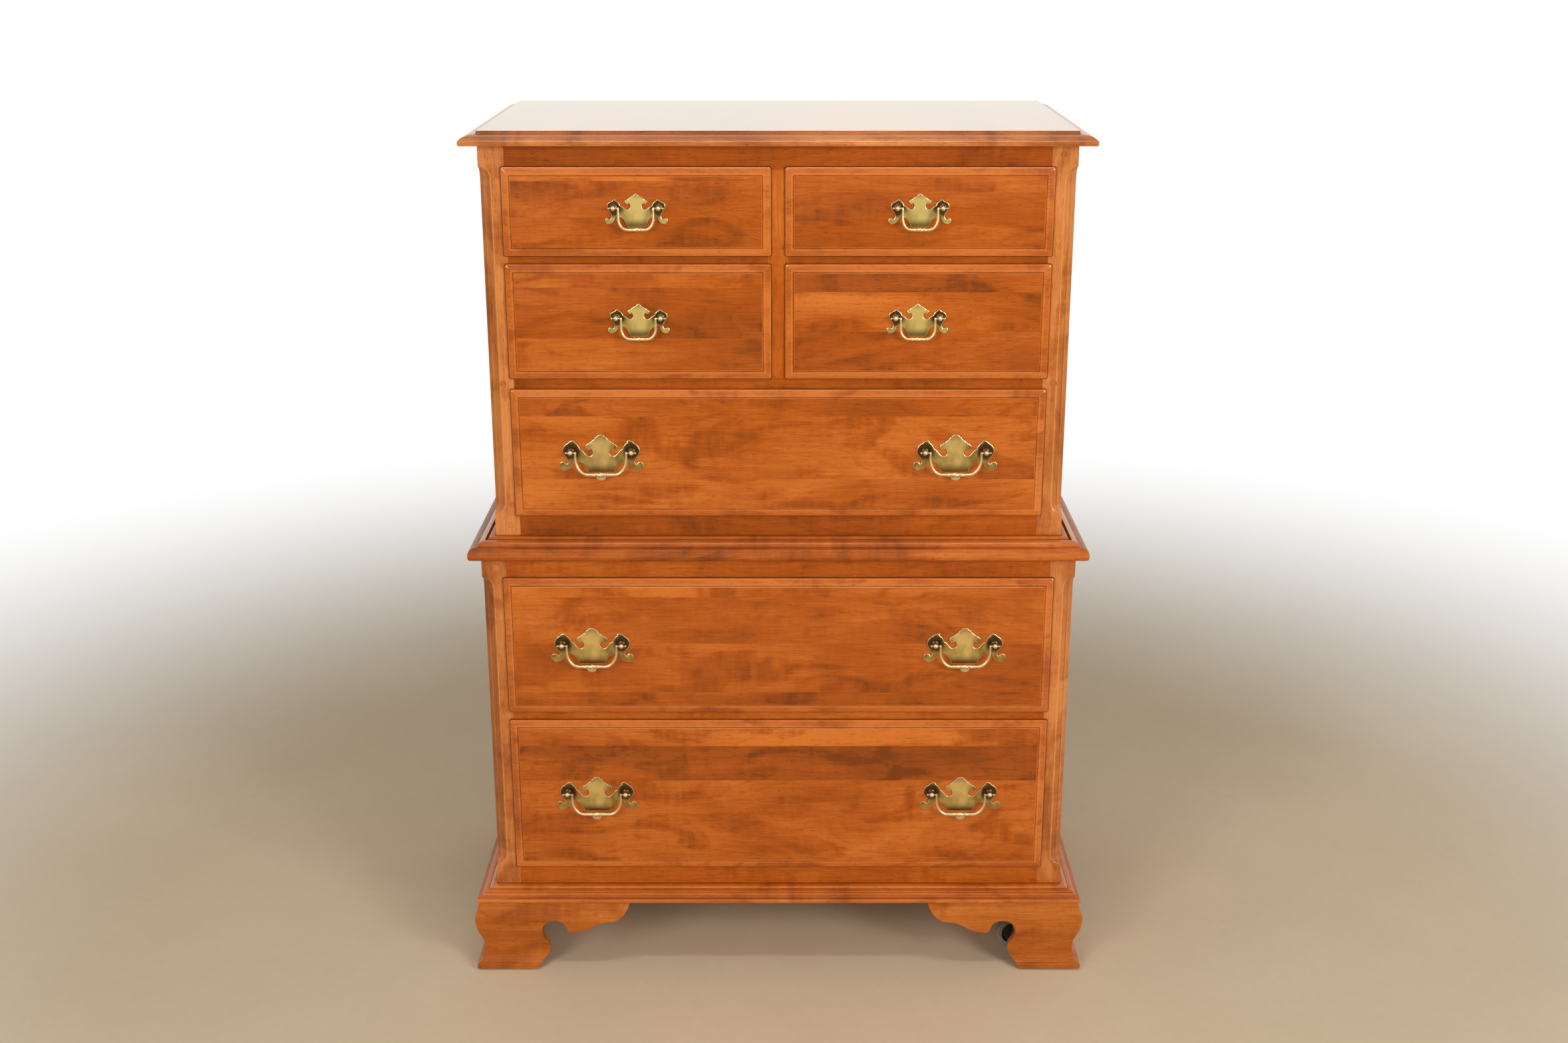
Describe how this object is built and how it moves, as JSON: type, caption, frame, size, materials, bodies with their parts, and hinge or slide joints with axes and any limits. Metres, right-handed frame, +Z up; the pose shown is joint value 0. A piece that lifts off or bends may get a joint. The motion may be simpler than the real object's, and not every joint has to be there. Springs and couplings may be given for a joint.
{
  "type": "chest on chest",
  "caption": "Tall maple two-case chest of lipped drawers with ogee bracket feet on hidden casters, moulded top, waist and base, and brass bail pulls.",
  "frame": {"origin": "centre of the bounding box's floor, midway between the sides and between front and back", "axes": "+X to the right seen from the front, +Y from the front to the back, +Z up"},
  "size_m": [0.946, 0.512, 1.294],
  "materials": {
    "maple": "nutmeg stain under satin lacquer",
    "inner_wood": "clear sealed secondary wood",
    "brass": "brushed antique brass, darkened",
    "dark_steel": "dark coated steel",
    "tyre": "grey rubber tread"
  },
  "bodies": {
    "case": {"back_panel": "inner_wood", "base_moulding": "maple", "front_left_foot": "maple", "front_right_foot": "maple", "lower_drawer_frame": "maple", "lower_left_post": "maple", "lower_left_side": "maple", "lower_right_post": "maple", "lower_right_side": "maple", "rear_left_foot": "maple", "rear_right_foot": "maple", "top_board": "maple", "upper_drawer_frame": "maple", "upper_left_post": "maple", "upper_left_side": "maple", "upper_right_post": "maple", "upper_right_side": "maple", "waist_moulding": "maple"},
    "fifth_drawer": {"fifth_drawer_front": "maple", "fifth_drawer_box": "inner_wood", "fifth_left_pull_plate": "brass", "fifth_right_pull_plate": "brass"},
    "fifth_left_bail": {"fifth_left_pull_bail": "brass"},
    "fifth_right_bail": {"fifth_right_pull_bail": "brass"},
    "fourth_drawer": {"fourth_drawer_front": "maple", "fourth_drawer_box": "inner_wood", "fourth_left_pull_plate": "brass", "fourth_right_pull_plate": "brass"},
    "fourth_left_bail": {"fourth_left_pull_bail": "brass"},
    "fourth_right_bail": {"fourth_right_pull_bail": "brass"},
    "third_drawer": {"third_drawer_front": "maple", "third_drawer_box": "inner_wood", "third_left_pull_plate": "brass", "third_right_pull_plate": "brass"},
    "third_left_bail": {"third_left_pull_bail": "brass"},
    "third_right_bail": {"third_right_pull_bail": "brass"},
    "second_left_drawer": {"second_left_drawer_front": "maple", "second_left_drawer_box": "inner_wood", "second_left_pull_plate": "brass"},
    "second_left_bail": {"second_left_pull_bail": "brass"},
    "second_right_drawer": {"second_right_drawer_front": "maple", "second_right_drawer_box": "inner_wood", "second_right_pull_plate": "brass"},
    "second_right_bail": {"second_right_pull_bail": "brass"},
    "top_left_drawer": {"top_left_drawer_front": "maple", "top_left_drawer_box": "inner_wood", "top_left_pull_plate": "brass"},
    "top_left_bail": {"top_left_pull_bail": "brass"},
    "top_right_drawer": {"top_right_drawer_front": "maple", "top_right_drawer_box": "inner_wood", "top_right_pull_plate": "brass"},
    "top_right_bail": {"top_right_pull_bail": "brass"},
    "front_left_caster": {"front_left_caster_fork": "dark_steel"},
    "front_left_wheel": {"front_left_caster_wheel": "tyre"},
    "front_right_caster": {"front_right_caster_fork": "dark_steel"},
    "front_right_wheel": {"front_right_caster_wheel": "tyre"},
    "rear_left_caster": {"rear_left_caster_fork": "dark_steel"},
    "rear_left_wheel": {"rear_left_caster_wheel": "tyre"},
    "rear_right_caster": {"rear_right_caster_fork": "dark_steel"},
    "rear_right_wheel": {"rear_right_caster_wheel": "tyre"}
  },
  "joints": [
    {"name": "fifth_slide", "type": "slide", "parent": "case", "child": "fifth_drawer", "axis": [0, -1, 0], "range_m": [0, 0.33]},
    {"name": "fifth_left_bail_swing", "type": "hinge", "parent": "fifth_drawer", "child": "fifth_left_bail", "pos_m": [-0.279, -0.2421, 0.297], "axis": [-1, 0, 0], "range_deg": [0, 90]},
    {"name": "fifth_right_bail_swing", "type": "hinge", "parent": "fifth_drawer", "child": "fifth_right_bail", "pos_m": [0.279, -0.2421, 0.297], "axis": [-1, 0, 0], "range_deg": [0, 90]},
    {"name": "fourth_slide", "type": "slide", "parent": "case", "child": "fourth_drawer", "axis": [0, -1, 0], "range_m": [0, 0.33]},
    {"name": "fourth_left_bail_swing", "type": "hinge", "parent": "fourth_drawer", "child": "fourth_left_bail", "pos_m": [-0.279, -0.2421, 0.5413], "axis": [-1, 0, 0], "range_deg": [0, 90]},
    {"name": "fourth_right_bail_swing", "type": "hinge", "parent": "fourth_drawer", "child": "fourth_right_bail", "pos_m": [0.279, -0.2421, 0.5413], "axis": [-1, 0, 0], "range_deg": [0, 90]},
    {"name": "third_slide", "type": "slide", "parent": "case", "child": "third_drawer", "axis": [0, -1, 0], "range_m": [0, 0.33]},
    {"name": "third_left_bail_swing", "type": "hinge", "parent": "third_drawer", "child": "third_left_bail", "pos_m": [-0.2585, -0.2216, 0.8345], "axis": [-1, 0, 0], "range_deg": [0, 90]},
    {"name": "third_right_bail_swing", "type": "hinge", "parent": "third_drawer", "child": "third_right_bail", "pos_m": [0.2585, -0.2216, 0.8345], "axis": [-1, 0, 0], "range_deg": [0, 90]},
    {"name": "second_left_slide", "type": "slide", "parent": "case", "child": "second_left_drawer", "axis": [0, -1, 0], "range_m": [0, 0.33]},
    {"name": "second_left_bail_swing", "type": "hinge", "parent": "second_left_drawer", "child": "second_left_bail", "pos_m": [-0.199, -0.2216, 1.03301], "axis": [-1, 0, 0], "range_deg": [0, 90]},
    {"name": "second_right_slide", "type": "slide", "parent": "case", "child": "second_right_drawer", "axis": [0, -1, 0], "range_m": [0, 0.33]},
    {"name": "second_right_bail_swing", "type": "hinge", "parent": "second_right_drawer", "child": "second_right_bail", "pos_m": [0.199, -0.2216, 1.03301], "axis": [-1, 0, 0], "range_deg": [0, 90]},
    {"name": "top_left_slide", "type": "slide", "parent": "case", "child": "top_left_drawer", "axis": [0, -1, 0], "range_m": [0, 0.33]},
    {"name": "top_left_bail_swing", "type": "hinge", "parent": "top_left_drawer", "child": "top_left_bail", "pos_m": [-0.199, -0.2216, 1.18901], "axis": [-1, 0, 0], "range_deg": [0, 90]},
    {"name": "top_right_slide", "type": "slide", "parent": "case", "child": "top_right_drawer", "axis": [0, -1, 0], "range_m": [0, 0.33]},
    {"name": "top_right_bail_swing", "type": "hinge", "parent": "top_right_drawer", "child": "top_right_bail", "pos_m": [0.199, -0.2216, 1.18901], "axis": [-1, 0, 0], "range_deg": [0, 90]},
    {"name": "front_left_caster_swivel", "type": "hinge", "parent": "case", "child": "front_left_caster", "pos_m": [-0.39741, -0.18041, 0.0788], "axis": [0, 0, 1], "continuous": true},
    {"name": "front_left_wheel_spin", "type": "hinge", "parent": "front_left_caster", "child": "front_left_wheel", "pos_m": [-0.41911, -0.18041, 0.02659], "axis": [0, 1, 0], "continuous": true},
    {"name": "front_right_caster_swivel", "type": "hinge", "parent": "case", "child": "front_right_caster", "pos_m": [0.39741, -0.18041, 0.0788], "axis": [0, 0, 1], "continuous": true},
    {"name": "front_right_wheel_spin", "type": "hinge", "parent": "front_right_caster", "child": "front_right_wheel", "pos_m": [0.37571, -0.18041, 0.02659], "axis": [0, 1, 0], "continuous": true},
    {"name": "rear_left_caster_swivel", "type": "hinge", "parent": "case", "child": "rear_left_caster", "pos_m": [-0.39741, 0.18341, 0.0788], "axis": [0, 0, 1], "continuous": true},
    {"name": "rear_left_wheel_spin", "type": "hinge", "parent": "rear_left_caster", "child": "rear_left_wheel", "pos_m": [-0.41911, 0.18341, 0.02659], "axis": [0, 1, 0], "continuous": true},
    {"name": "rear_right_caster_swivel", "type": "hinge", "parent": "case", "child": "rear_right_caster", "pos_m": [0.39741, 0.18341, 0.0788], "axis": [0, 0, 1], "continuous": true},
    {"name": "rear_right_wheel_spin", "type": "hinge", "parent": "rear_right_caster", "child": "rear_right_wheel", "pos_m": [0.37571, 0.18341, 0.02659], "axis": [0, 1, 0], "continuous": true}
  ]
}
